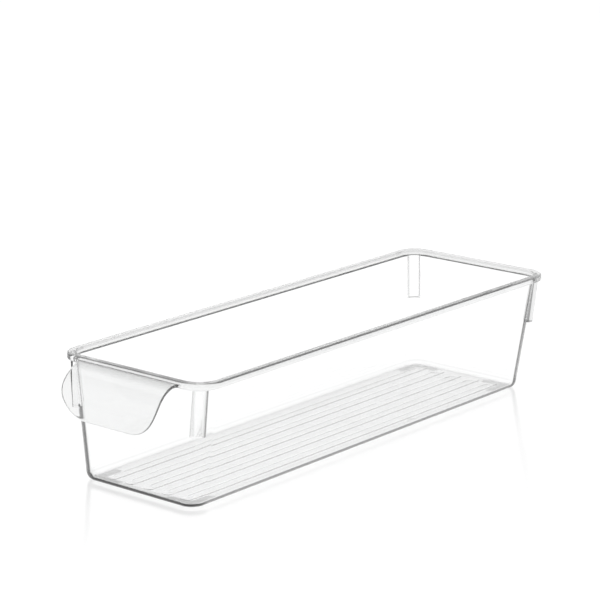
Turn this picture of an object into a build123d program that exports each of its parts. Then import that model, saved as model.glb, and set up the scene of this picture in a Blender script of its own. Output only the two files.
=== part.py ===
from build123d import *
import math
import os

# A clear plastic pantry bin: a long tapered tub with a rounded rim, a pull handle rolled out of the
# front rim, stacking lugs under the rim's corners, ribs on the floor and low feet under the base.
# Millimetres, +Z up, the handle towards -Y. The origin is on the table, under the middle of the
# whole bin, handle included.

# Driving dimensions: the whole bin
rim_width = 102.0
rim_length = 304.0
height = 69.0

# How far the rim's outer edge stands beyond the base. The front wall is steeper than the others.
side_overhang = 10.8
front_overhang = 4.0
back_overhang = 11.4

# Moulded skin
wall = 1.4
floor_thickness = 1.1
base_corner_radius = 9.4
top_corner_radius = 12.0
hollow_base_radius = 8.6
hollow_top_radius = 11.2
base_round = 4.2
floor_round = 3.4

# Rim bead
rim_reach = 2.6
rim_height = 3.8
rim_corner_radius = 12.6
rim_top_round = 1.2
rim_under_round = 1.0
rim_inner_round = 0.6

# Pull handle
handle_width = 67.6
handle_reach = 16.3
handle_drop = 27.8
handle_thickness = 1.5
handle_roll_radius = 18.4
handle_root_depth = 1.4
handle_corner_radius = 18.5
handle_flare = 3.0
handle_edge_round = 0.5

# Corner lugs
lug_width = 8.2
lug_drop = 28.9
lug_top_proud = 1.9
lug_bottom_proud = 3.1
lug_edge_round = 2.4
lug_root = 4.0

# Floor ribs, and the shallow groove under each of them
rib_count = 5
rib_margin_share = 0.49
rib_width_share = 0.5
rib_height = 0.2
rib_round = 0.15
rib_end_gap = 3.4
groove_inset = 0.3
groove_depth = 0.4
groove_end_gap = 8.5

# Corner feet
foot_height = 0.2
foot_leg = 18.0
foot_width = 5.6
foot_inset = 0.4
foot_end_round = 2.0

# A cutting tool runs past the surface it cuts by this much.
overrun = 5.0

# Places worked out from the driving dimensions
overall_length = rim_length + handle_reach
rim_back = overall_length / 2
rim_front = rim_back - rim_length
base_back = rim_back - back_overhang
base_front = rim_front + front_overhang
base_side = rim_width / 2 - side_overhang
top_back = rim_back - rim_reach
top_front = rim_front + rim_reach
top_side = rim_width / 2 - rim_reach
rim_under = height - rim_height
floor_top = foot_height + floor_thickness


def at_height(base, top, z):
    """A size that changes evenly from the table to the top of the wall."""
    return base + (top - base) * z / height


# The floor's flat part, inside its rounded edge
flat_side = at_height(base_side, top_side, floor_top) - wall - floor_round
flat_front = at_height(base_front, top_front, floor_top) + wall + floor_round
flat_back = at_height(base_back, top_back, floor_top) - wall - floor_round


def wall_outline(z, inset, base_radius, top_radius):
    """The wall's rounded outline at one height, drawn in from its outer face."""
    side = at_height(base_side, top_side, z) - inset
    front = at_height(base_front, top_front, z) + inset
    back = at_height(base_back, top_back, z) - inset
    radius = at_height(base_radius, top_radius, z)
    middle = (front + back) / 2
    return Pos(0, middle, z) * RectangleRounded(2 * side, back - front, radius)


def edges_at(shape, z):
    """The edges that lie flat at one height."""
    return shape.edges().filter_by_position(Axis.Z, z, z)


def make_cavity():
    """The hollow of the bin, from the floor to above the rim."""
    bottom = wall_outline(floor_top, wall, hollow_base_radius, hollow_top_radius)
    mouth = wall_outline(height + overrun, wall, hollow_base_radius, hollow_top_radius)
    hollow = loft([bottom, mouth], ruled=True)
    return fillet(edges_at(hollow, floor_top), floor_round)


def make_body():
    """The tub's outside, as if solid, up to the underside of the rim."""
    bottom = wall_outline(foot_height, 0, base_corner_radius, top_corner_radius)
    top = wall_outline(rim_under, 0, base_corner_radius, top_corner_radius)
    body = loft([bottom, top], ruled=True)
    return fillet(edges_at(body, foot_height), base_round)


def make_rim(cavity):
    """The rounded bead, flush with the walls inside and overhanging them outside."""
    middle = (rim_front + rim_back) / 2
    outline = RectangleRounded(rim_width, rim_length, rim_corner_radius)
    bead = extrude(Pos(0, middle, rim_under) * outline, rim_height)
    bead = fillet(edges_at(bead, height), rim_top_round)
    bead = fillet(edges_at(bead, rim_under), rim_under_round)
    bead = bead - cavity
    top_face = bead.faces().sort_by(Axis.Z)[-1]
    return fillet(top_face.inner_wires()[0].edges(), rim_inner_round)


def is_on_roll_end(edge, roll_y, roll_z):
    """Whether an edge only marks where the handle's roll starts or stops."""
    box = edge.bounding_box()
    starts = abs(box.max.Y - roll_y) < handle_edge_round and box.size.Y < handle_edge_round
    stops = abs(box.max.Z - roll_z) < handle_edge_round and box.size.Z < handle_edge_round
    return starts or stops


def make_handle(rim):
    """A band that leaves the rim level, rolls down through a quarter turn and hangs straight. It is
    drawn with the rim's front edge at y = 0 and then moved to the rim."""
    tip = -handle_reach
    roll_y = tip + handle_roll_radius
    roll_z = height - handle_root_depth - handle_roll_radius
    bottom = height - handle_drop
    back_face = tip + handle_thickness
    outer_radius = handle_roll_radius
    inner_radius = outer_radius - handle_thickness
    with BuildSketch(Plane.YZ) as section:
        with BuildLine():
            CenterArc((roll_y, roll_z), outer_radius, 90, 90)
            Line((tip, roll_z), (tip, bottom))
            Line((tip, bottom), (back_face, bottom))
            Line((back_face, bottom), (back_face, roll_z))
            CenterArc((roll_y, roll_z), inner_radius, 90, 90)
            Line((roll_y, roll_z + inner_radius), (roll_y, roll_z + outer_radius))
        make_face()
    band = extrude(section.sketch, rim_width / 2, both=True)

    half_width = handle_width / 2
    root = half_width + handle_flare
    flare_end = -handle_flare
    far = tip - overrun
    with BuildSketch() as plan:
        with BuildLine():
            Line((-root, roll_y), (-root, 0))
            RadiusArc((-root, 0), (-half_width, flare_end), -handle_flare)
            Line((-half_width, flare_end), (-half_width, far))
            Line((-half_width, far), (half_width, far))
            Line((half_width, far), (half_width, flare_end))
            RadiusArc((half_width, flare_end), (root, 0), -handle_flare)
            Line((root, 0), (root, roll_y))
            Line((root, roll_y), (-root, roll_y))
        make_face()
    from_above = extrude(plan.sketch, height)

    shoulder = bottom + handle_corner_radius
    lower = Pos(0, bottom + height / 2) * RectangleRounded(2 * half_width, height, handle_corner_radius)
    upper = Pos(0, shoulder + height / 2) * Rectangle(rim_width, height)
    from_front = extrude(Plane.XZ * (lower + upper), handle_reach + overrun, both=True)

    flap = band & from_above & from_front
    rounded = flap.edges().filter_by(lambda edge: edge.length > 2 * handle_thickness)
    rounded = rounded.filter_by(lambda edge: not is_on_roll_end(edge, roll_y, roll_z))
    handle = Pos(0, rim_front) * fillet(rounded, handle_edge_round)
    return handle - rim


def corner_point(sx, sy, z):
    """The middle of one rounded corner of the wall at one height."""
    base_end, top_end = (base_front, top_front) if sy < 0 else (base_back, top_back)
    radius = at_height(base_corner_radius, top_corner_radius, z)
    cut_back = radius * (1 - math.sqrt(0.5))
    side = at_height(base_side, top_side, z) - cut_back
    return Vector(sx * side, at_height(base_end, top_end, z) - sy * cut_back)


def make_lug(sx, sy, body):
    """A corner lug: a rounded bar on the wall's corner, standing further out towards its foot."""
    outward = Vector(sx, sy).normalized()
    turn = math.degrees(math.atan2(sy, sx))
    top_corner = corner_point(sx, sy, rim_under)
    sections = []
    for z, proud in ((height - lug_drop, lug_bottom_proud), (rim_under, lug_top_proud)):
        drawn_in = (top_corner - corner_point(sx, sy, z)).dot(outward)
        place = top_corner - outward * drawn_in
        depth = proud + lug_root
        bar = Pos(proud - depth / 2, 0) * RectangleRounded(depth, lug_width, lug_edge_round)
        sections.append(Pos(place.X, place.Y, z) * Rot(0, 0, turn) * bar)
    return loft(sections, ruled=True) - body


def rib_outline(index, inset, end_gap):
    """One long outline with round ends on the floor's flat part, drawn in from the rib's sides."""
    pitch = 2 * flat_side / (rib_count + rib_margin_share)
    x = (index - (rib_count - 1) / 2) * pitch
    width = pitch * rib_width_share - 2 * inset
    length = flat_back - flat_front - 2 * end_gap
    return Pos(x, (flat_front + flat_back) / 2) * Rot(0, 0, 90) * SlotOverall(length, width)


def make_rib(index):
    """One low rib along the floor."""
    rib = extrude(Pos(0, 0, floor_top) * rib_outline(index, 0, rib_end_gap), rib_height)
    return fillet(edges_at(rib, floor_top + rib_height), rib_round)


def make_groove(index):
    """The shallow groove under one rib, as a cutting tool."""
    start = foot_height - overrun
    depth = groove_depth + overrun
    return extrude(Pos(0, 0, start) * rib_outline(index, groove_inset, groove_end_gap), depth)


def make_foot(sx, sy):
    """One low foot that follows the base's corner."""
    inset = base_round + foot_inset
    side = at_height(base_side, top_side, foot_height) - inset
    front = at_height(base_front, top_front, foot_height) + inset
    back = at_height(base_back, top_back, foot_height) - inset
    radius = base_corner_radius - inset
    middle = (front + back) / 2
    outer = Pos(0, middle) * RectangleRounded(2 * side, back - front, radius)
    inner_width = 2 * (side - foot_width)
    inner = Pos(0, middle) * RectangleRounded(inner_width, back - front - 2 * foot_width, foot_end_round)
    end = front if sy < 0 else back
    corner = Pos(sx * (side - foot_leg / 2), end - sy * foot_leg / 2) * Rectangle(foot_leg, foot_leg)
    return extrude((outer - inner) & corner, foot_height)


cavity = make_cavity()
body = make_body()
rim = make_rim(cavity)
tub = body - cavity
for index in range(rib_count):
    tub = tub - make_groove(index)
parts = {"tub": tub, "rim": rim, "pull_handle": make_handle(rim)}

corners = {"front_left": (-1, -1), "front_right": (1, -1), "back_left": (-1, 1), "back_right": (1, 1)}
for name, (sx, sy) in corners.items():
    parts["lug_" + name] = make_lug(sx, sy, body)
    parts["foot_" + name] = make_foot(sx, sy)

for index in range(rib_count):
    parts[f"floor_rib_{index + 1}"] = make_rib(index)

os.makedirs("parts", exist_ok=True)
for name, shape in parts.items():
    shape.label = name
    export_step(shape, f"parts/{name}.step")
    print(name, round(shape.volume), "cubic mm")
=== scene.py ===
# %% [markdown]
# # A clear pantry bin
# The object is one injection moulding in clear plastic: a long tapered tub with a rounded rim, a pull
# handle that rolls out of the front rim, four stacking lugs, five ribs on the floor and four low
# feet. Clear plastic shows every surface, the hidden ones too, and a seam between two touching solids
# would show as a false line. So the CAD pieces give the sizes, and one closed skin is built over all
# of them.

# %% Load the frame
import math

import bpy
import numpy as np
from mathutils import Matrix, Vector
from mathutils.geometry import delaunay_2d_cdt


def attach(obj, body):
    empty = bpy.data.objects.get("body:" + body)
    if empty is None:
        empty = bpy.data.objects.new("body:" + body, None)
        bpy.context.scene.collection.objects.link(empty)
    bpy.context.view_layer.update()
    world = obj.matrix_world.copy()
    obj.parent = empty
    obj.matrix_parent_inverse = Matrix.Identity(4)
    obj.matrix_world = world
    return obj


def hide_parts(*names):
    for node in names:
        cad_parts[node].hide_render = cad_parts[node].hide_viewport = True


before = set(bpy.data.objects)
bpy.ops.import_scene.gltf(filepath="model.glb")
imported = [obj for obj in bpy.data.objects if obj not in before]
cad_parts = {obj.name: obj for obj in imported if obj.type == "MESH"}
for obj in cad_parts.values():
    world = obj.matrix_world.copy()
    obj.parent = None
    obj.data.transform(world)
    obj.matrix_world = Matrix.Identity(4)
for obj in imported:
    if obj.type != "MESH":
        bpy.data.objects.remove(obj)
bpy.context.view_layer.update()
MM = 0.001

# %% [markdown]
# ## The camera
# The camera was solved from the straight edges in the picture: it stands to the right of the handle
# and looks down at about 15 degrees. A long lens keeps the far end nearly as large as the near end.
# It could be placed by eye too, but a solved camera lets each edge of the bin fall on its line in the
# picture.

# %% Camera
AZIMUTH, ELEVATION = math.radians(39.912), math.radians(14.823)
AIM = Vector((-89.05, 99.22, 40.8)) * MM
DISTANCE = 1505.88 * MM
LENS = 149.085

towards_camera = Vector(
    (
        math.sin(AZIMUTH) * math.cos(ELEVATION),
        -math.cos(AZIMUTH) * math.cos(ELEVATION),
        math.sin(ELEVATION),
    )
)
camera = bpy.data.objects.new("camera", bpy.data.cameras.new("camera"))
bpy.context.scene.collection.objects.link(camera)
camera.data.lens = LENS
camera.data.sensor_width = 36.0
camera.data.clip_start, camera.data.clip_end = 0.05, 50.0
camera.location = AIM + towards_camera * DISTANCE
camera.rotation_mode = "QUATERNION"
camera.rotation_quaternion = towards_camera.to_track_quat("Z", "Y")
bpy.context.scene.camera = camera
print("camera at", [round(v, 3) for v in camera.location])

# %% [markdown]
# ## Sizes
# All the lengths below are millimetres and repeat the CAD's named sizes. A wall is written as three
# outward distances at table height: to the side, to the front and to the back, with their growth per
# millimetre of height, because the tub widens towards its mouth.

# %% Sizes of the tub and its rim
HEIGHT, RIM_HEIGHT = 69.0, 3.8
WALL, FOOT, FLOOR = 1.4, 0.2, 1.1
FLOOR_TOP = FOOT + FLOOR
BASE_ROUND, FLOOR_ROUND, INNER_ROUND = 4.2, 3.4, 0.6
RIM_UNDER = HEIGHT - RIM_HEIGHT

# side, front and back, each measured outwards from the bin's origin
RIM_OUT = np.array([51.0, 143.85, 160.15])
RIM_REACH, RIM_RADIUS, RIM_TOP_ROUND, RIM_UNDER_ROUND = 2.6, 12.6, 1.2, 1.0
BASE_OUT = np.array([40.2, 139.85, 148.75])
TOP_OUT = RIM_OUT - RIM_REACH
SLOPE = (TOP_OUT - BASE_OUT) / HEIGHT
OUTER_RADII = (9.4, 12.0)
HOLLOW_RADII = (8.6, 11.2)
print("wall slopes in degrees:", np.degrees(np.arctan(SLOPE)).round(2))

# %% [markdown]
# ## A lug across a corner
# Under each corner of the rim a rounded bar stands out from the wall and holds a stacked bin off the
# one below. A separate bar could be joined on with a boolean, but clear plastic shows the seam. So
# the wall's own rings bulge at the corner, and this outline says where their points go.

# %% Lug cross-section
LUG_WIDTH, LUG_ROUND, LUG_DROP = 8.2, 2.4, 28.9
LUG_Z = HEIGHT - LUG_DROP
LUG_PROUD_LOW, LUG_PROUD_TOP = 3.1, 1.9
# a point this far past a round keeps the flat beside it flat when it is shaded smooth
GUARD, FINE_GUARD, EDGE_GUARD = 0.3, 0.15, 0.1
# the bare wall's part of the outline, as shares of its turn
wall_arc = np.linspace(0, 1, 12)


def lug_half(radius, proud):
    """Half of a lug's outline across a corner, as (sideways, outwards) points from the corner's
    centre: the bare wall's arc, then a straight flank, a quarter round and the flat outer face."""
    half = LUG_WIDTH / 2
    root = math.asin(half / radius)
    wall = math.pi / 4 + (root - math.pi / 4) * wall_arc
    on_wall = radius * np.c_[np.sin(wall), np.cos(wall)]
    turn = np.linspace(0, math.pi / 2, 6)
    round_out = radius + proud - LUG_ROUND
    round_side = half - LUG_ROUND
    on_round = np.c_[round_side + LUG_ROUND * np.cos(turn), round_out + LUG_ROUND * np.sin(turn)]
    face = np.array([round_side - FINE_GUARD, 0.0])
    on_face = np.c_[face, np.full(len(face), radius + proud)]
    return np.concatenate([on_wall, on_round, on_face])


def lug_outline(radius, proud):
    """The whole outline across a corner: one half, and its mirror image."""
    half = lug_half(radius, proud)
    return np.concatenate([half * [-1, 1], half[-2::-1]])


def wall_radius(z, radii=OUTER_RADII):
    """A corner's radius at a height, growing evenly from the table to the top of the wall."""
    return radii[0] + (radii[1] - radii[0]) * z / HEIGHT


lug_low = lug_outline(wall_radius(LUG_Z), LUG_PROUD_LOW)
corner_turn = np.arctan2(lug_low[:, 0], lug_low[:, 1])
print("columns in each corner:", len(corner_turn))

# %% [markdown]
# ## The handle's outline, laid flat
# The pull handle is a sheet that rolls out of the front rim and hangs down. A bent sheet is easiest
# to draw before it is bent, so its edge is a list of pairs: half the width, and the distance along
# the sheet. The flare at the rim, the straight side, the rounded corner and the straight bottom
# follow each other.

# %% Roll of the handle
HANDLE_HALF, HANDLE_FLARE, HANDLE_CORNER = 33.8, 3.0, 18.5
HANDLE_REACH, HANDLE_DROP, HANDLE_ROOT_DEPTH = 16.3, 27.8, 1.4
HANDLE_BOTTOM = HEIGHT - HANDLE_DROP
ROLL_RADIUS, SHEET = 18.4, 1.5
ROLL_OUT = RIM_OUT[1] + HANDLE_REACH - ROLL_RADIUS
ROLL_Z = HEIGHT - HANDLE_ROOT_DEPTH - ROLL_RADIUS


def roll_length_at_height(z):
    """Distance along the rolled sheet's outer face at which it reaches a height: an arc length on
    the quarter turn, and a straight drop below it."""
    turn = np.arccos(np.clip((z - ROLL_Z) / ROLL_RADIUS, 0, 1))
    return ROLL_RADIUS * turn + np.maximum(ROLL_Z - z, 0)


def roll_length_at_reach(out):
    """Distance along the sheet's outer face at which it stands that far out from the origin."""
    return ROLL_RADIUS * np.arcsin((out - ROLL_OUT) / ROLL_RADIUS)


print("the sheet is", roll_length_at_height(HANDLE_BOTTOM).round(2), "mm long")

# %% Handle outline
FLARE_STEPS, SIDE_STEPS, BEND_STEPS, BOTTOM_STEPS = 9, 8, 25, 8
flare = np.linspace(0, math.pi / 2, FLARE_STEPS)[1:]
flare_edge = np.c_[
    HANDLE_HALF + HANDLE_FLARE * (1 - np.sin(flare)),
    roll_length_at_reach(RIM_OUT[1] + HANDLE_FLARE * (1 - np.cos(flare))),
]
corner_z = HANDLE_BOTTOM + HANDLE_CORNER
side_run = np.linspace(flare_edge[-1, 1], roll_length_at_height(corner_z), SIDE_STEPS)[1:-1]
side_edge = np.c_[np.full(len(side_run), HANDLE_HALF), side_run]
bend = np.linspace(0, math.pi / 2, BEND_STEPS)
bend_edge = np.c_[
    HANDLE_HALF - HANDLE_CORNER * (1 - np.cos(bend)),
    roll_length_at_height(corner_z - HANDLE_CORNER * np.sin(bend)),
]
bottom_x = np.linspace(HANDLE_HALF - HANDLE_CORNER, 0, BOTTOM_STEPS)[1:]
bottom_edge = np.c_[bottom_x, np.full(len(bottom_x), bend_edge[-1, 1])]
handle_edge = np.concatenate([flare_edge, side_edge, bend_edge, bottom_edge])
print("points on half of the handle's edge:", len(handle_edge))

# %% Where the handle's columns leave the rim
ROOT_SIDE, ROOT_BEND, ROOT_BOTTOM = 34.4, 31.0, 14.0
FLARE_DRAW, FLARE_EASE = 2.4, 1.5
handle_root = np.concatenate(
    [
        HANDLE_HALF + HANDLE_FLARE - FLARE_DRAW * np.linspace(0, 1, FLARE_STEPS)[1:] ** FLARE_EASE,
        np.linspace(ROOT_SIDE, ROOT_BEND, SIDE_STEPS)[1:-1],
        np.linspace(ROOT_BEND, ROOT_BOTTOM, BEND_STEPS),
        np.linspace(ROOT_BOTTOM, 0.0, BOTTOM_STEPS)[1:],
    ]
)
print("handle columns on one half:", len(handle_root))

# %% [markdown]
# ## Columns round the outline
# Every ring of the skin is a rounded rectangle. Seen from above it is a smaller rectangle, through
# the corners' centres, with a radius added outwards. So one column needs only a place on that inner
# rectangle and an outward arrow, and the same columns serve every ring from the base to the rim.
# Columns are close together where something happens: along the handle, and at the lugs' edges.

# %% Columns on the straight sides
# places along each side as shares of it, with a guard column just inside each end
rim_straight = RIM_OUT[0] - RIM_RADIUS
handle_side = (HANDLE_HALF + HANDLE_FLARE) / rim_straight
front_half = np.concatenate([[1.0, 0.988, handle_side], handle_root / rim_straight])
front_run = np.concatenate([-front_half, front_half[-2::-1]])
long_run = np.array([0.0, 0.002, 0.25, 0.5, 0.75, 0.998, 1.0])
back_run = np.array([1.0, 0.99, 0.5, 0.0, -0.5, -0.99, -1.0])
print("columns on the front, a long side and the back:", len(front_run), len(long_run), len(back_run))


# %% Column table
def corner_columns(a, b, facing):
    """Columns of one corner: the inner rectangle's corner, and arrows fanned about its diagonal."""
    angle = facing + corner_turn
    n = len(angle)
    return np.c_[np.full(n, a), np.full(n, b), np.cos(angle), np.sin(angle)]


def straight_columns(a, b, arrow):
    """Columns of a straight edge, all with the same arrow."""
    a, b = np.broadcast_arrays(a, b)
    return np.c_[a, b, np.tile(arrow, (len(a), 1))]


runs = [
    straight_columns(front_run, 0.0, (0, -1)),
    corner_columns(1.0, 0.0, -math.pi / 4),
    straight_columns(1.0, long_run, (1, 0)),
    corner_columns(1.0, 1.0, math.pi / 4),
    straight_columns(back_run, 1.0, (0, 1)),
    corner_columns(-1.0, 1.0, 3 * math.pi / 4),
    straight_columns(-1.0, long_run[::-1], (-1, 0)),
    corner_columns(-1.0, 0.0, 5 * math.pi / 4),
]
columns = np.concatenate(runs)
starts = np.cumsum([0] + [len(r) for r in runs])
corner_starts = starts[1:-1:2]
print("columns round the bin:", len(columns))

# %% [markdown]
# ## Rings and rows
# A section through the wall runs from the base, up the outside, over the rim and down the inside to
# the floor. Each point of that section becomes one ring. A tapered box with a Solidify modifier would
# be quicker to make, but light shows how thick a clear wall is all the way round, so each ring is
# worked out.

# %% Rings
def ring(out, radius, z):
    """A rounded rectangle at one height: a place on the inner rectangle plus the radius along the
    column's arrow. out holds its outward distances to the side, the front and the back."""
    a, b, c, s = columns.T
    x = a * (out[0] - radius) + radius * c
    y = (1 - b) * (radius - out[1]) + b * (out[2] - radius) + radius * s
    return np.c_[x, y, np.full(len(x), z)]


def wall_out(z, inset):
    """The leaning wall's outward distances at a height, drawn in from its outer face."""
    return BASE_OUT + SLOPE * z - inset


print("width of the wall under the rim in mm:", (2 * wall_out(RIM_UNDER, 0.0)[0]).round(2))

# %% [markdown]
# ## Rounds between walls and flats
# The base and the floor meet the walls in a round, as in most mouldings, because a sharp inside
# corner cracks easily. A Bevel modifier could make the round, but it puts its rows where it likes,
# and the grey lines need rows at known heights. Each wall leans by its own angle, so the round is
# worked out for the side, the front and the back at once.

# %% Rings on a wall and its round
# a leaning wall's length for each millimetre of height
LEAN = np.sqrt(1 + SLOPE**2)


def wall_ring(z, inset, flat, rounding, below=True, extra=0.0):
    """A ring on the wall, or on the round that joins it to the flat at height flat. The round's
    centre lies one radius from both, so the ring's distance is the centre's plus the circle's half
    chord at this height. extra draws the ring further in, along the flat."""
    way = 1 if below else -1
    centre_z = flat + way * rounding
    centre = wall_out(centre_z, inset) - way * rounding * LEAN
    chord = np.sqrt(max(rounding**2 - (z - centre_z) ** 2, 0.0))
    touch_z = centre_z - way * rounding * SLOPE / LEAN
    on_round = way * (z - touch_z) < 0
    plain = wall_out(z, inset)
    out = np.where(on_round, centre + way * chord, plain) - extra
    radii = HOLLOW_RADII if inset else OUTER_RADII
    return ring(out, wall_radius(z, radii) - (plain - out)[0], z)


print("wall's length for each mm of height:", LEAN.round(4))


# %% Rings with lugs, and rings of the rim
def lug_ring(z):
    """A ring of the outer wall whose corners follow the lugs' outline: its points, turned to face out
    of each corner, take the places of the plain arc's."""
    proud = np.interp(z, [LUG_Z, RIM_UNDER], [LUG_PROUD_LOW, LUG_PROUD_TOP])
    radius = wall_radius(z)
    points = ring(wall_out(z, 0.0), radius, z)
    outline = lug_outline(radius, proud)
    for corner, start in enumerate(corner_starts):
        facing = math.radians(-45 + 90 * corner)
        across = np.array([-math.sin(facing), math.cos(facing)])
        along = np.array([math.cos(facing), math.sin(facing)])
        span = slice(start, start + len(outline))
        plain_arc = radius * columns[span, 2:]
        points[span, :2] += outline[:, :1] * across + outline[:, 1:] * along - plain_arc
    return points


def rim_ring(inset, z):
    """A ring on the rim's bead: the rim's outline and corner radius, drawn in alike."""
    return ring(RIM_OUT - inset, RIM_RADIUS - inset, z)


print("width of the rim in mm:", np.ptp(rim_ring(0.0, RIM_UNDER)[:, 0]).round(2))

# %% Rows up the outside
quarter = np.linspace(0, math.pi / 2, 10)
outside = [wall_ring(FOOT, 0, FOOT, BASE_ROUND, extra=GUARD)]
outside += [wall_ring(z, 0, FOOT, BASE_ROUND) for z in FOOT + BASE_ROUND * (1 - np.cos(quarter))]
plain_z = (FOOT + BASE_ROUND + GUARD, LUG_Z - GUARD, LUG_Z)
outside += [wall_ring(z, 0, FOOT, BASE_ROUND) for z in plain_z]
outside += [lug_ring(z) for z in (LUG_Z, LUG_Z + GUARD, RIM_UNDER - GUARD, RIM_UNDER)]
print("rows up the outside:", len(outside))

# %% [markdown]
# ## The rim's bead
# The rim is a thick bead that stiffens the mouth, with a round above and below. The handle grows out
# of its front face, so rows of that face have to lie where the sheet's two faces begin. The lower
# place is on the bead's round. It could be solved by hand, but trying many angles and reading off the
# fitting one is short.

# %% Where the handle meets the bead
ROOT_TRIES = 2000
under_z = RIM_UNDER + RIM_UNDER_ROUND
root_top = ROLL_Z + math.sqrt(ROLL_RADIUS**2 - (RIM_OUT[1] - ROLL_OUT) ** 2)


def under_round(turn):
    """(inset, height) on the round below the bead, for an angle below its level."""
    return RIM_UNDER_ROUND * (1 - math.cos(turn)), under_z + RIM_UNDER_ROUND * math.sin(turn)


turns = np.linspace(-math.pi / 2, 0, ROOT_TRIES)
inset_at, z_at = RIM_UNDER_ROUND * (1 - np.cos(turns)), under_z + RIM_UNDER_ROUND * np.sin(turns)
from_roll = np.hypot(RIM_OUT[1] - inset_at - ROLL_OUT, z_at - ROLL_Z)
root_turn = float(np.interp(ROLL_RADIUS - SHEET, from_roll, turns))
print("the sheet's inner face meets the bead at", round(math.degrees(root_turn), 1), "degrees")

# %% Rows of the rim
under = [rim_ring(RIM_UNDER_ROUND + FINE_GUARD, RIM_UNDER)]
under += [rim_ring(*under_round(t)) for t in np.linspace(-math.pi / 2, root_turn, 5)[:-1]]
face_steps = [under_round(t) for t in np.linspace(root_turn, 0, 4)] + [(0.0, root_top)]

top_z = HEIGHT - RIM_TOP_ROUND
over = [
    rim_ring(RIM_TOP_ROUND * (1 - math.cos(t)), top_z + RIM_TOP_ROUND * math.sin(t)) for t in quarter
]
over += [rim_ring(RIM_TOP_ROUND + FINE_GUARD, HEIGHT)]
over += [wall_ring(HEIGHT, WALL, HEIGHT, INNER_ROUND, below=False, extra=-EDGE_GUARD)]
print("rows of the rim, below and above its face:", len(under), len(over))

# %% Rows down the inside
EDGE_BAND = 1.3
inside = [
    wall_ring(z, WALL, HEIGHT, INNER_ROUND, below=False)
    for z in HEIGHT - INNER_ROUND * (1 - np.cos(quarter[::2]))
]
wall_z = [HEIGHT - EDGE_BAND, FLOOR_TOP + FLOOR_ROUND + GUARD]
bend_z = FLOOR_TOP + FLOOR_ROUND * (1 - np.cos(quarter[::-1]))
inside += [wall_ring(z, WALL, FLOOR_TOP, FLOOR_ROUND) for z in (*wall_z, *bend_z)]
inside += [wall_ring(FLOOR_TOP, WALL, FLOOR_TOP, FLOOR_ROUND, extra=GUARD)]
print("rows down the inside:", len(inside))

# %% [markdown]
# ## The rolled pull handle
# The handle is a bent sheet. Unrolled, it is flat, and its outline is a tongue with rounded corners
# and two small flares at the rim. A grid is drawn on that flat tongue, from the rim to the outline,
# then it is rolled: a distance along the sheet becomes an angle on the roll. A Simple Deform modifier
# can bend a sheet too, but working the turn out keeps the sheet's length and thickness exact. The
# sheet has two faces and a rounded edge, so each column runs down the inner face, round the edge and
# back up the outer face.

# %% Rolling a sheet
def rolled(x, length, offset):
    """A point of the unrolled sheet bent over the roll: the length turns it by length / radius up to
    a quarter turn and then drops it straight, and offset moves it along the sheet's normal."""
    turn = np.minimum(length / ROLL_RADIUS, math.pi / 2)
    drop = np.maximum(length - ROLL_RADIUS * math.pi / 2, 0)
    reach = ROLL_RADIUS + offset
    y = -(ROLL_OUT + reach * np.sin(turn))
    return np.stack([x, y, ROLL_Z + reach * np.cos(turn) - drop], axis=-1)


print("middle of the handle's lower edge in mm:", rolled(0.0, handle_edge[-1, 1], 0.0).round(2))

# %% Handle sheet
FACE_STEPS, EDGE_STEPS = 30, 9
# the edge's round is at most this share of the way from the rim
EDGE_SHARE = 0.4
# a place inside the flat outline, which tells outwards from inwards
INSIDE_TONGUE = [0.0, 10.0]
root_low = under_round(root_turn)
root_low_length = ROLL_RADIUS * math.atan2(RIM_OUT[1] - root_low[0] - ROLL_OUT, root_low[1] - ROLL_Z)
root_high_length = roll_length_at_reach(RIM_OUT[1])

slope = np.gradient(handle_edge, axis=0)
slope[-1] = (-1, 0)
slope /= np.linalg.norm(slope, axis=1, keepdims=True)
outwards = np.c_[-slope[:, 1], slope[:, 0]]
outwards *= np.sign(np.sum(outwards * (handle_edge - INSIDE_TONGUE), axis=1, keepdims=True))
reach = np.hypot(handle_root - handle_edge[:, 0], handle_edge[:, 1] - root_high_length)
edge_round = np.minimum(SHEET / 2, EDGE_SHARE * reach)
held = handle_edge - outwards * edge_round[:, None]

share = np.linspace(0, 1, FACE_STEPS)[:, None]
inner_x = handle_root + (held[:, 0] - handle_root) * share
inner_length = root_low_length + (held[:, 1] - root_low_length) * share
outer_length = root_high_length + (held[:, 1] - root_high_length) * share
edge_turn = np.linspace(-math.pi / 2, math.pi / 2, EDGE_STEPS + 2)[1:-1, None]
edge_x = held[:, 0] + outwards[:, 0] * edge_round * np.cos(edge_turn)
edge_length = held[:, 1] + outwards[:, 1] * edge_round * np.cos(edge_turn)
sheet_half = np.concatenate(
    [
        rolled(inner_x, inner_length, -SHEET),
        rolled(edge_x, edge_length, SHEET / 2 * (np.sin(edge_turn) - 1)),
        rolled(inner_x, outer_length, 0.0)[::-1],
    ]
)
sheet = np.concatenate([sheet_half * [-1, 1, 1], sheet_half[:, -2::-1]], axis=1)
print("handle grid:", sheet.shape[:2])

# %% [markdown]
# ## One skin
# The rows are stacked into one grid. A boolean could join a separate handle to the rim, but it leaves
# thin slivers along the join, so the handle's columns are part of the rim's own grid. Away from the
# handle its many rows lie on only five places of the bead's face, and most of them fall together
# there. Welding equal points later removes the empty faces and closes the seams.

# %% Stack the rows
steps = len(sheet)
level = np.round(np.linspace(0, len(face_steps) - 1, steps)).astype(int)
bead_face = np.stack([rim_ring(*face_steps[k]) for k in level])
# the front's end, its guard and the flare's end come before the handle's first column
handle_start = 3
bead_face[:, handle_start : handle_start + sheet.shape[1]] = sheet
grid = np.concatenate([np.stack(outside + under), bead_face, np.stack(over + inside)])


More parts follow.
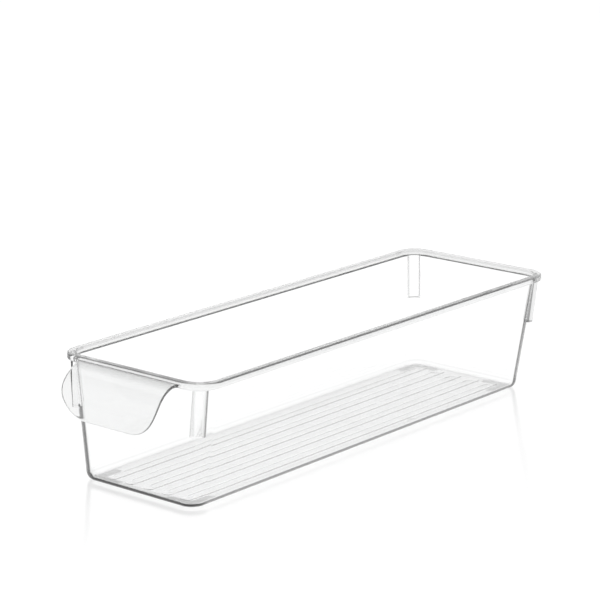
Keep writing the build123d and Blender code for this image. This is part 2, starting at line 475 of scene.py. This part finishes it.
def grid_faces(rows, cols):
    """Quads of a grid whose rows close on themselves: each joins a point, the next in its row, and
    the two above them."""
    r, c = np.mgrid[0 : rows - 1, 0:cols]
    n = (c + 1) % cols
    below, above = r * cols, (r + 1) * cols
    return np.stack([below + c, below + n, above + n, above + c], axis=-1).reshape(-1, 4)


skin_points = grid.reshape(-1, 3)
skin_quads = grid_faces(*grid.shape[:2])
print("skin grid:", grid.shape[:2])

# %% [markdown]
# ## Zones of the skin
# Each part of the real surface treats light in its own way: the walls are clear, tight bends and
# corners look grey, and the rim is slightly milky. Each face therefore gets the number of its zone. A
# mask could be painted later, but here the grid's rows and columns still say exactly where a face
# lies.

# %% Zones by row
WALLS, CORNERS, BASE_BEND, FLOOR_BEND, RIM, RIM_EDGE, LUGS, HANDLE, FLATS, FOOT_CAPS = range(10)
bend_rows, rim_rows = len(quarter) + 1, 1 + len(under) + steps + len(over)
zone_rows = [bend_rows, len(outside) - bend_rows - 1, rim_rows, len(quarter[::2]), 2, len(quarter)]
zones = np.repeat([BASE_BEND, WALLS, RIM, RIM_EDGE, WALLS, FLOOR_BEND], zone_rows)
zones = np.repeat(zones[:, None], grid.shape[1], axis=1)
print("rows in each zone:", zone_rows)

# %% [markdown]
# ## Corners, lugs and handle
# A lug's rounded edges work like small lenses, and the photograph shows a dark line down the front
# right lug and a dark flank on the back right one. A lens that thin is lost between two pixels, so
# the edges also get painted shade, a dark tint of their own in the colour. It grows across the lug
# towards its edge, and each lug has its own share.

# %% Zones by column
# painted shade across a lug: distances across it in mm, and the darkening at each
LUG_ACROSS = [-4.1, -3.8, -3.4, -2.0, 1.5, 2.1, 2.8, 3.4, 4.1]
LUG_SHADE = [0.5, 0.3, 0.05, 0.03, 0.03, 0.12, 0.5, 0.9, 0.95]
# in the order front right, back right, back left, front left
LUG_SHADE_SHARES = [1.0, 0.3, 0.3, 0.0]
FLANK_SHADE = [0.5, 0.85, 0.15, 0.0]

lug_shade = np.interp((lug_low[1:, 0] + lug_low[:-1, 0]) / 2, LUG_ACROSS, LUG_SHADE)
lug_rows = slice(len(outside) - 5, len(outside) - 1)
bare = len(wall_arc) - 1
lug_shade_faces = np.zeros(zones.shape)
for start, shade_share, flank_shade in zip(corner_starts, LUG_SHADE_SHARES, FLANK_SHADE):
    end = start + len(corner_turn) - 1
    around = zones[:, start:end]
    around[around == WALLS] = CORNERS
    zones[lug_rows, start + bare : end - bare] = LUGS if shade_share else WALLS
    lug_shade_faces[lug_rows, start + bare : end - bare] = shade_share * lug_shade[bare:-bare]
    lug_shade_faces[lug_rows, start + bare] = flank_shade
first = len(outside) + len(under)
zones[first : first + steps - 1, handle_start : handle_start + sheet.shape[1] - 1] = HANDLE
print("faces in each zone:", np.bincount(zones.reshape(-1)))

# %% [markdown]
# ## Floor, ribs and feet
# The floor and the underside are flat, with bosses standing on them: five ribs inside and four feet
# below. A flat with holes is filled by a Delaunay triangulation, which needs only the outlines. Each
# boss is its own outline carried up a small rounded profile, with a flat cap.

# %% Flats with bosses
def flat_fill(loops, z, upward, kind):
    """Triangles between an outer loop and the loops inside it, at one height."""
    points = np.concatenate(loops)
    first = np.cumsum([0] + [len(loop) for loop in loops])
    outlines = [list(range(i, j)) for i, j in zip(first[:-1], first[1:])]
    _, _, tris, sources, _, owners = delaunay_2d_cdt(points.tolist(), [], outlines, 1, 1e-6)
    alone = np.array([len(o) for o in owners]) == 1
    tris = np.array([s[0] for s in sources])[np.array(tris)[alone]]
    a, b, c = (points[tris[:, k]] for k in range(3))
    facing_down = np.cross(b - a, c - a) < 0
    wrong = facing_down == upward
    tris[wrong] = tris[wrong][:, ::-1]
    quads = np.c_[tris, tris[:, 2]]
    return np.c_[points, np.full(len(points), z)], quads, np.tile([kind, 0.0], (len(quads), 1))


def boss(outline, profile, kind, cap_up):
    """A boss or a groove: its outline at each (inset, height) of the profile, joined by quads, and a
    flat cap. A cap that faces down turns the side quads round."""
    loops = [outline(inset) for inset, _ in profile]
    stack = np.stack([np.c_[loop, np.full(len(loop), z)] for loop, (_, z) in zip(loops, profile)])
    if not cap_up:
        stack = stack[:, ::-1]
    quads = grid_faces(*stack.shape[:2])
    cap = flat_fill([loops[-1]], profile[-1][1], cap_up, kind)
    return [(stack.reshape(-1, 3), quads, np.tile([FLATS, 0.0], (len(quads), 1))), cap]


print("points round the flat floor and the flat base:", len(grid[-1]), len(grid[0]))

# %% [markdown]
# ## Ribs and grooves
# Five low ribs run along the floor, each with a shallow groove under it on the base's outside. A bump
# map could draw them, but it moves no surface, and a clear floor shows where it is thick and thin. So
# they are real.

# %% Rib outlines
RIB_COUNT, RIB_HEIGHT, RIB_ROUND, RIB_GAP = 5, 0.2, 0.15, 3.4
RIB_MARGIN_SHARE, RIB_WIDTH_SHARE = 0.49, 0.5
GROOVE_INSET, GROOVE_DEPTH, GROOVE_GAP = 0.3, 0.4, 8.5
flat_out = wall_out(FLOOR_TOP, WALL + FLOOR_ROUND)
rib_pitch = 2 * flat_out[0] / (RIB_COUNT + RIB_MARGIN_SHARE)
rib_half = rib_pitch * RIB_WIDTH_SHARE / 2


def rib_outline(x, gap):
    """A function that gives one rib's outline, a slot with half-round ends, at any inset."""

    def outline(inset):
        """A half circle at each end, joined by straight sides and drawn in by the inset."""
        turn = np.linspace(0, math.pi, 17)
        end = (rib_half - inset) * np.c_[np.cos(turn), np.sin(turn)]
        back = flat_out[2] - gap - rib_half
        front = -flat_out[1] + gap + rib_half
        return np.concatenate([end + [x, back], -end + [x, front]])

    return outline


print("rib pitch and half width in mm:", rib_pitch.round(2), rib_half.round(2))

# %% [markdown]
# ## Feet
# Four low feet follow the base's corners and keep the floor off the shelf. Each outline is an L with
# rounded bends. One foot could be mirrored three times, but a mirror image is inside out, so each
# outline is worked out for its own corner and then put in counterclockwise order.

# %% Foot outlines
FOOT_LEG, FOOT_WIDTH, FOOT_INSET, FOOT_FILLET = 18.0, 5.6, 0.4, 2.0
foot_out = wall_out(FOOT, BASE_ROUND + FOOT_INSET)
foot_radius = OUTER_RADII[0] - BASE_ROUND - FOOT_INSET


def foot_outline(sx, sy):
    """A function that gives one foot's outline: two legs that follow the base's rounded corner."""

    def outline(inset):
        """From one leg's end round the outer bend to the other leg's end, and back by the elbow:
        both bends are quarter circles, and the inset draws every side in."""
        turn = np.linspace(0, math.pi / 2, 9)
        hug = foot_radius - (foot_radius - inset) * np.c_[np.sin(turn), np.cos(turn)]
        bow = FOOT_FILLET + inset
        elbow = FOOT_WIDTH + FOOT_FILLET - bow * np.c_[np.cos(turn), np.sin(turn)]
        end, wide = FOOT_LEG - inset, FOOT_WIDTH - inset
        ends = [[inset, end], [wide, end]]
        inward = np.concatenate([[[end, inset]], hug, ends, elbow, [[end, wide]]])
        along = foot_out[2] if sy > 0 else foot_out[1]
        loop = np.c_[sx * (foot_out[0] - inward[:, 0]), sy * (along - inward[:, 1])]
        x, y = loop.T
        ccw = np.sum(x * np.roll(y, -1) - np.roll(x, -1) * y) > 0
        return loop if ccw else loop[::-1]

    return outline


print("radius of a foot's outer bend in mm:", round(foot_radius, 2))

# %% Profiles of the bosses
FOOT_DRAW = 0.05
rib_round = RIB_ROUND * np.c_[1 - np.cos(quarter[::3]), np.sin(quarter[::3])]
rib_profile = [(0.0, FLOOR_TOP)]
rib_profile += [(i, FLOOR_TOP + RIB_HEIGHT - RIB_ROUND + h) for i, h in rib_round]
rib_profile += [(RIB_ROUND + EDGE_GUARD, FLOOR_TOP + RIB_HEIGHT)]
groove_profile = [(GROOVE_INSET, FOOT), (GROOVE_INSET, FOOT + GROOVE_DEPTH)]
foot_profile = [(0.0, FOOT), (FOOT_DRAW, 0.0)]
rib_x = (np.arange(RIB_COUNT) - (RIB_COUNT - 1) / 2) * rib_pitch
ribs = [rib_outline(x, RIB_GAP) for x in rib_x]
grooves = [rib_outline(x, GROOVE_GAP - GROOVE_INSET) for x in rib_x]
feet = [foot_outline(sx, sy) for sx in (-1, 1) for sy in (-1, 1)]
print("ribs, grooves and feet:", len(ribs), len(grooves), len(feet))

# %% All patches
traits = np.c_[zones.reshape(-1), lug_shade_faces.reshape(-1)]
patches = [(skin_points, skin_quads, traits)]
patches += [flat_fill([grid[-1, :, :2]] + [rib(0.0) for rib in ribs], FLOOR_TOP, True, FLATS)]
under_loops = [foot(0.0) for foot in feet] + [groove(GROOVE_INSET) for groove in grooves]
patches += [flat_fill([grid[0, :, :2]] + under_loops, FOOT, False, FLATS)]
for rib in ribs:
    patches += boss(rib, rib_profile, FLATS, True)
for groove in grooves:
    patches += boss(groove, groove_profile, FLATS, False)
for foot in feet:
    patches += boss(foot, foot_profile, FOOT_CAPS, False)
print("patches:", len(patches))

# %% [markdown]
# ## One closed mesh
# The patches were made side by side, so their borders hold the same points twice. Welding them makes
# one closed surface, which clear plastic needs: light has to leave the wall where it really ends.
# Blender's Merge by Distance could do it, but the arrays still know which zone each face came from.
# Faces are shaded smooth, and edges sharper than 32 degrees stay sharp, as at the foot of a rib.

# %% Weld the skin
def weld(patches):
    """Joins patches: points that agree to a hundredth of a micrometre become one, and a quad that
    lost a corner becomes a triangle or goes."""
    counts = np.cumsum([0] + [len(p) for p, _, _ in patches])
    points = np.concatenate([p for p, _, _ in patches])
    quads = np.concatenate([q + n for (_, q, _), n in zip(patches, counts)])
    traits = np.concatenate([t for _, _, t in patches])
    _, first, where = np.unique(np.round(points, 5), axis=0, return_index=True, return_inverse=True)
    quads = where.reshape(-1)[quads]
    same = quads == np.roll(quads, -1, axis=1)
    whole = (same.sum(1) == 0) & (quads[:, 0] != quads[:, 2]) & (quads[:, 1] != quads[:, 3])
    cut = same.sum(1) == 1
    drop = np.argmax(same[cut], axis=1)
    keep = np.array([[1, 2, 3], [0, 2, 3], [0, 1, 3], [0, 1, 2]])[drop]
    tris = np.take_along_axis(quads[cut], keep, axis=1)
    return points[first], quads[whole], tris, np.concatenate([traits[whole], traits[cut]])


points, quads, tris, traits = weld(patches)
kinds = traits[:, 0].astype(int)
print("points", len(points), "quads", len(quads), "triangles", len(tris))

# %% The bin as an object
SHARP_EDGE = math.radians(32)
CLEAR, FROSTED, MILKY = range(3)
mesh = bpy.data.meshes.new("bin_moulding")
mesh.from_pydata((points * MM).tolist(), [], quads.tolist() + tris.tolist())
on_rim = (kinds == RIM) | (kinds == RIM_EDGE)
finish = np.where(kinds == FOOT_CAPS, FROSTED, np.where(on_rim, MILKY, CLEAR))
mesh.polygons.foreach_set("material_index", finish.astype(np.int32))
mesh.polygons.foreach_set("use_smooth", np.ones(len(mesh.polygons), bool))
mesh.set_sharp_from_angle(angle=SHARP_EDGE)
mesh.update()
moulding = bpy.data.objects.new("bin_moulding", mesh)
bpy.context.scene.collection.objects.link(moulding)
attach(moulding, "root")
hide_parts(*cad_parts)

loop_edges = np.empty(len(mesh.loops), np.int32)
mesh.loops.foreach_get("edge_index", loop_edges)
edge_use = np.bincount(loop_edges, minlength=len(mesh.edges))
print("open edges:", int(np.sum(edge_use != 2)))

# %% [markdown]
# ## Painted shade along the edges
# The bin is a hard, glossy, clear plastic. Perfectly clear plastic would carry light along a wall
# without losing any, and every edge would come out as white as the table. So the grey lines along
# its bends, corners and silhouettes are painted shade: each zone's shares darken its colour. Volume
# absorption could darken too, but one strength for the whole bin makes the walls grey before the
# edges are dark. So each zone gets three shares of painted shade: for light that was turned back
# inside and leaves at a slant, for all light that was turned back, and a plain painted grey for any
# light that crosses the surface.

# %% Painted shade in each zone
# each zone's shares of painted shade: the first two darken light turned back inside, the third is a
# plain painted grey
EDGE_SHADE = np.zeros((10, 3))
EDGE_SHADE[WALLS] = (0.5, 0.0, 0.0)
EDGE_SHADE[CORNERS] = (0.965, 0.0, 0.0)
EDGE_SHADE[BASE_BEND] = (1.0, 0.85, 0.6)
EDGE_SHADE[FLOOR_BEND] = (0.8, 0.3, 0.0)
EDGE_SHADE[RIM] = (0.965, 0.5, 0.03)
EDGE_SHADE[RIM_EDGE] = (0.965, 0.6, 0.42)
EDGE_SHADE[LUGS] = (0.95, 0.7, 0.0)
EDGE_SHADE[HANDLE] = (0.95, 0.9, 0.0)
EDGE_SHADE[FLATS] = (0.85, 0.0, 0.0)
EDGE_SHADE[FOOT_CAPS] = (0.85, 0.0, 0.0)

centres = np.concatenate([points[quads].mean(axis=1), points[tris].mean(axis=1)])
x, y, z = centres.T
slanted, turned, painted_grey = EDGE_SHADE[kinds].T.copy()
painted_grey += traits[:, 1]
print("mean loss shares:", slanted.mean().round(3), turned.mean().round(3), painted_grey.mean().round(3))

# %% [markdown]
# ## Painted shade, darker towards the front
# In the photograph the front corners and the front of the base are the darkest lines, and the base's
# line is much weaker along the left side and the back. So the painted shade is stronger at the front
# and weaker on the left side and the back. The shares change with the place on the bin, so the lines
# stay where they are when the bin is turned.

# %% Front, base line and far sides
# painted shade at the front: the shares that the front corners, bends, base line and floor bend reach
FRONT_CORNER, FRONT_BEND, FRONT_PAINTED_GREY, FRONT_FLOOR = 0.995, 1.0, 0.97, 0.2
LINE_LOW, LINE_LOW_FRONT, LINE_HIGH = 1.8, 1.3, 2.8
FAR_LEFT, FAR_BACK = -30.0, 140.0
FAR_BASE_SHARE, FAR_RIM_SHARE, FAR_RIM_TURNED = 0.2, 0.4, 0.4
# stretches along the bin over which a share changes
WHOLE_LENGTH, FRONT_BAND, LEFT_CORNER = [-140.0, 150.0], [-136.0, -120.0], [-139.0, -134.0]

forward = np.interp(y, WHOLE_LENGTH, [1.0, 0.0])
at_front = np.interp(y, FRONT_BAND, [1.0, 0.0])
base = kinds == BASE_BEND
bends = base | (kinds == FLOOR_BEND)
far = (x < FAR_LEFT) | (y > FAR_BACK)
far_rim = far & (at_front == 0)
base_share = np.where(far, np.interp(y, LEFT_CORNER, [1.0, FAR_BASE_SHARE]), 1.0)
# the base's painted dark line lies only between these heights
in_line = (z > np.where(at_front > 0.5, LINE_LOW_FRONT, LINE_LOW)) & (z < LINE_HIGH)

slanted += np.where(kinds == CORNERS, (FRONT_CORNER - slanted) * forward, 0.0)
turned += np.where(bends, (FRONT_BEND - turned) * at_front, 0.0)
painted_grey += np.where(base, (FRONT_PAINTED_GREY - painted_grey) * at_front, 0.0)
painted_grey += np.where(kinds == FLOOR_BEND, FRONT_FLOOR * at_front, 0.0)
painted_grey *= np.where(base, in_line * base_share, 1.0)
painted_grey *= np.where((kinds == RIM_EDGE) & far_rim, FAR_RIM_SHARE, 1.0)
turned *= np.where(on_rim & far_rim, FAR_RIM_TURNED, 1.0)
print("faces on the base's line:", int(np.sum(base & in_line)), "on far sides:", int(np.sum(far)))

# %% [markdown]
# ## Painted grey at the handle's root
# Where the handle leaves the rim it lies almost level, so the eye looks through a long way of plastic
# and sees a soft grey band. The band is painted shade: a plain grey on the rim over the handle and on
# the first part of the roll. On the roll it is set by the angle that the sheet has turned through,
# and it fades out below.

# %% Handle root, and the shares on the mesh
ROOT_TURN, ROOT_SHADE = [17.0, 29.0], [0.32, 0.1]
RIM_FRONT, ROOT_HALF, RIM_ROOT_SHADE = -142.0, 36.0, 0.22
over_handle = (kinds == RIM) & (y < RIM_FRONT) & (np.abs(x) < ROOT_HALF)
# painted shade on the rim over the handle, and on the first part of the roll
painted_grey = np.where(over_handle, RIM_ROOT_SHADE, painted_grey)
roll_turn = np.degrees(np.arctan2(-y - ROLL_OUT, np.maximum(z - ROLL_Z, 0)))
painted_grey = np.where(kinds == HANDLE, np.interp(roll_turn, ROOT_TURN, ROOT_SHADE), painted_grey)

# the three shares of painted shade, stored on each face
painted_shade = mesh.attributes.new("edge_shade", "FLOAT_VECTOR", "FACE")
painted_shade.data.foreach_set("vector", np.c_[slanted, turned, painted_grey].astype(np.float32).reshape(-1))
print("rim faces over the handle:", int(np.sum(over_handle)))

# %% [markdown]
# ## The painted shade in the shader
# The zones' shares now darken the colour. Light Path says whether light was turned back inside the
# wall, Layer Weight how much it slants, and the mesh gives the three shares. The first two darken
# only light turned back inside; the third is a plain painted grey, which stays grey where the eye
# looks straight through the wall.

# %% Painted shade in the shader
SLANT_FROM, SLANT_TO = 0.14, 0.20


def calculated(tree, operation, a, b):
    """The output of a Math node that joins two outputs."""
    node = tree.nodes.new("ShaderNodeMath")
    node.operation = operation
    tree.links.new(a, node.inputs[0])
    tree.links.new(b, node.inputs[1])
    return node.outputs[0]


def painted_edge_shade(tree):
    """The painted shade here: the larger of slant times the first share and the second share, only
    for light turned back inside, or the third share, a plain painted grey, where that is larger."""
    side = tree.nodes.new("ShaderNodeNewGeometry")
    path = tree.nodes.new("ShaderNodeLightPath")
    slant = tree.nodes.new("ShaderNodeLayerWeight")
    slant.inputs["Blend"].default_value = 0.5
    grazing = tree.nodes.new("ShaderNodeMapRange")
    grazing.inputs["From Min"].default_value = SLANT_FROM
    grazing.inputs["From Max"].default_value = SLANT_TO
    tree.links.new(slant.outputs["Facing"], grazing.inputs["Value"])
    zone = tree.nodes.new("ShaderNodeAttribute")
    zone.attribute_name = "edge_shade"
    shares = tree.nodes.new("ShaderNodeSeparateXYZ")
    tree.links.new(zone.outputs["Vector"], shares.inputs[0])

    turned_back = path.outputs["Is Reflection Ray"]
    inside = calculated(tree, "MULTIPLY", side.outputs["Backfacing"], turned_back)
    darkened = calculated(tree, "MULTIPLY", grazing.outputs["Result"], shares.outputs["X"])
    darkened = calculated(tree, "MAXIMUM", darkened, shares.outputs["Y"])
    darkened = calculated(tree, "MULTIPLY", darkened, inside)
    return calculated(tree, "MAXIMUM", darkened, shares.outputs["Z"])


print("light is lost to slant from", SLANT_FROM, "to", SLANT_TO)

# %% [markdown]
# ## Clear plastic
# The shader is a Principled one with full transmission and the plastic's own index of refraction. Its
# colour is nearly white, and becomes dark by the painted shade. A moulded wall is never
# quite flat, so a slow noise on Object coordinates bends the normals a little, like the flow of the
# plastic in the mould. Moving the mesh itself would need far more faces for the same waves.

# %% Moulded plastic
PLASTIC_IOR = 1.55
# the colour that the painted edge shade darkens towards
SHADE_DARK = (0.01, 0.01, 0.01, 1)
FLOW_SCALE, FLOW_DETAIL, FLOW_DEPTH = 45.0, 1.0, 0.00002


def moulded_plastic(name, clear, through, roughness):
    """A clear moulded plastic: a colour between the clear one and dark by the painted shade, and
    normals that follow a slow noise."""
    material = bpy.data.materials.new(name)
    material.use_nodes = True
    tree = material.node_tree
    shader = tree.nodes["Principled BSDF"]
    shader.inputs["Transmission Weight"].default_value = through
    shader.inputs["IOR"].default_value = PLASTIC_IOR
    shader.inputs["Roughness"].default_value = roughness

    colour = tree.nodes.new("ShaderNodeMix")
    colour.data_type = "RGBA"
    colour.inputs[6].default_value = (*clear, 1)
    colour.inputs[7].default_value = SHADE_DARK
    tree.links.new(painted_edge_shade(tree), colour.inputs[0])
    tree.links.new(colour.outputs[2], shader.inputs["Base Color"])

    place = tree.nodes.new("ShaderNodeTexCoord")
    flow = tree.nodes.new("ShaderNodeTexNoise")
    flow.inputs["Scale"].default_value = FLOW_SCALE
    flow.inputs["Detail"].default_value = FLOW_DETAIL
    tree.links.new(place.outputs["Object"], flow.inputs["Vector"])
    waves = tree.nodes.new("ShaderNodeBump")
    waves.inputs["Strength"].default_value = 1.0
    waves.inputs["Distance"].default_value = FLOW_DEPTH
    tree.links.new(flow.outputs[0], waves.inputs["Height"])
    tree.links.new(waves.outputs["Normal"], shader.inputs["Normal"])
    return material


print("index of refraction:", PLASTIC_IOR, "depth of the waves in mm:", round(FLOW_DEPTH / MM, 3))

# %% [markdown]
# ## Three finishes of one plastic
# Walls, floor and handle are polished. The feet are ground a little by every shelf that the bin has
# stood on, so they are frosted; their grey colour is painted shade for the light that the rough caps
# scatter away. The rim is thick and slightly milky: a fully clear bead would carry the dark of its
# far edge into the near one and come out black.

# %% The three finishes
# the feet's grey colour is painted shade; their roughness is the wear
CLEAR_COLOUR, FROSTED_SHADE_COLOUR = (0.998, 1.0, 1.0), (0.75, 0.75, 0.75)
FROSTED_ROUGHNESS, RIM_THROUGH, RIM_ROUGHNESS = 0.35, 0.8, 0.1
mesh.materials.append(moulded_plastic("clear_plastic", CLEAR_COLOUR, through=1.0, roughness=0.0))
mesh.materials.append(moulded_plastic("frosted_plastic", FROSTED_SHADE_COLOUR, 1.0, FROSTED_ROUGHNESS))
mesh.materials.append(moulded_plastic("rim_plastic", CLEAR_COLOUR, RIM_THROUGH, RIM_ROUGHNESS))
print("finishes:", [m.name for m in mesh.materials])

# %% [markdown]
# ## White table
# The bin stands on a white table with a soft gloss, which shows the mirror image of the base and lets
# it fade with height. The table lies a hair below the feet, so that the two surfaces never fight.
# Strong lamps could make it white, but they would burn out the bin. So its white is a glow for the
# rays that look at it, straight, by gloss or through the plastic. It puts no light on the bin, and a
# dim matt part takes the lamps' light and the bin's faint shadow.

# %% Table top
TABLE_Z, TABLE_HALF = -0.00005, 6.0
table_mesh = bpy.data.meshes.new("studio_floor")
table_corners = TABLE_HALF * np.array([[-1, -1], [1, -1], [1, 1], [-1, 1]])
table_mesh.from_pydata(np.c_[table_corners, np.full(4, TABLE_Z)].tolist(), [], [(0, 1, 2, 3)])
table = bpy.data.objects.new("studio_floor", table_mesh)
bpy.context.scene.collection.objects.link(table)
print("table corners in metres:", table_corners.tolist())

# %% Table finish
TABLE_GLOW, TABLE_MATT = 0.92, 0.2
TABLE_IOR, TABLE_ROUGHNESS = 2.3, 0.18

white_table = bpy.data.materials.new("white_table")
white_table.use_nodes = True
tree = white_table.node_tree
tree.nodes.clear()
ray = tree.nodes.new("ShaderNodeLightPath")
seen = calculated(tree, "MAXIMUM", ray.outputs["Is Camera Ray"], ray.outputs["Is Glossy Ray"])
seen = calculated(tree, "MAXIMUM", seen, ray.outputs["Is Transmission Ray"])
glow_level = tree.nodes.new("ShaderNodeMath")
glow_level.operation = "MULTIPLY"
glow_level.inputs[1].default_value = TABLE_GLOW
tree.links.new(seen, glow_level.inputs[0])
glow = tree.nodes.new("ShaderNodeEmission")
tree.links.new(glow_level.outputs[0], glow.inputs["Strength"])
matt = tree.nodes.new("ShaderNodeBsdfDiffuse")
matt.inputs["Color"].default_value = (TABLE_MATT, TABLE_MATT, TABLE_MATT, 1)
body = tree.nodes.new("ShaderNodeAddShader")
tree.links.new(glow.outputs[0], body.inputs[0])
tree.links.new(matt.outputs[0], body.inputs[1])
gloss = tree.nodes.new("ShaderNodeBsdfGlossy")
gloss.inputs["Roughness"].default_value = TABLE_ROUGHNESS
gloss.inputs["Color"].default_value = (1, 1, 1, 1)
fresnel = tree.nodes.new("ShaderNodeFresnel")
fresnel.inputs["IOR"].default_value = TABLE_IOR
mix = tree.nodes.new("ShaderNodeMixShader")
tree.links.new(fresnel.outputs[0], mix.inputs[0])
tree.links.new(body.outputs[0], mix.inputs[1])
tree.links.new(gloss.outputs[0], mix.inputs[2])
surface = tree.nodes.new("ShaderNodeOutputMaterial")
tree.links.new(mix.outputs[0], surface.inputs["Surface"])
table_mesh.materials.append(white_table)
print("table nodes:", len(tree.nodes))

# %% [markdown]
# ## Lamps
# Clear things are photographed under large soft boxes, because a small lamp leaves hard bright dots
# in them. One wide box hangs over the bin and gives its faint shadow, and a smaller one stands in
# front, near the camera's side. They are as bright as the sky behind them, so their edges don't show
# in the plastic.

# %% Soft boxes
def soft_box(name, place, width, power):
    """A square lamp that looks at the bin's middle from a place in metres."""
    lamp = bpy.data.lights.new(name, "AREA")
    lamp.size, lamp.energy = width, power
    holder = bpy.data.objects.new(name, lamp)
    bpy.context.scene.collection.objects.link(holder)
    holder.location = place
    holder.rotation_mode = "QUATERNION"
    holder.rotation_quaternion = Vector(place).to_track_quat("Z", "Y")
    return holder


overhead_box = soft_box("overhead_box", (-0.5, 0.4, 1.6), width=2.4, power=9.0)
front_box = soft_box("front_box", (1.2, -1.4, 0.9), width=0.8, power=2.0)
print("lamps in watts:", overhead_box.data.energy, front_box.data.energy)

# %% [markdown]
# ## The room
# Clear plastic shows mostly what is round it. The room is white from the table's edge up to about
# half height and greyer overhead, which gives the rim and the handle something soft to mirror. Light
# passes many surfaces in a hollow clear bin, so more bounces are allowed than usual, or the edges
# turn black.

# %% Room and light paths
WHITE_TO, GREY_FROM, GREY_LEVEL = 0.45, 0.8, 0.5
BOUNCES = 48
world = bpy.data.worlds.new("studio")
scene = bpy.context.scene
scene.world = world
world.use_nodes = True
nodes, links = world.node_tree.nodes, world.node_tree.links
direction = nodes.new("ShaderNodeTexCoord")
split = nodes.new("ShaderNodeSeparateXYZ")
sky = nodes.new("ShaderNodeValToRGB")
links.new(direction.outputs["Generated"], split.inputs[0])
links.new(split.outputs["Z"], sky.inputs[0])
links.new(sky.outputs[0], nodes["Background"].inputs["Color"])
white_end, grey_end = sky.color_ramp.elements
white_end.position, white_end.color = WHITE_TO, (1, 1, 1, 1)
grey_end.position, grey_end.color = GREY_FROM, (GREY_LEVEL, GREY_LEVEL, GREY_LEVEL, 1)
scene.cycles.max_bounces = BOUNCES
scene.cycles.glossy_bounces = BOUNCES
scene.cycles.transmission_bounces = BOUNCES
scene.view_settings.view_transform = "Standard"
print("light bounces:", scene.cycles.max_bounces)
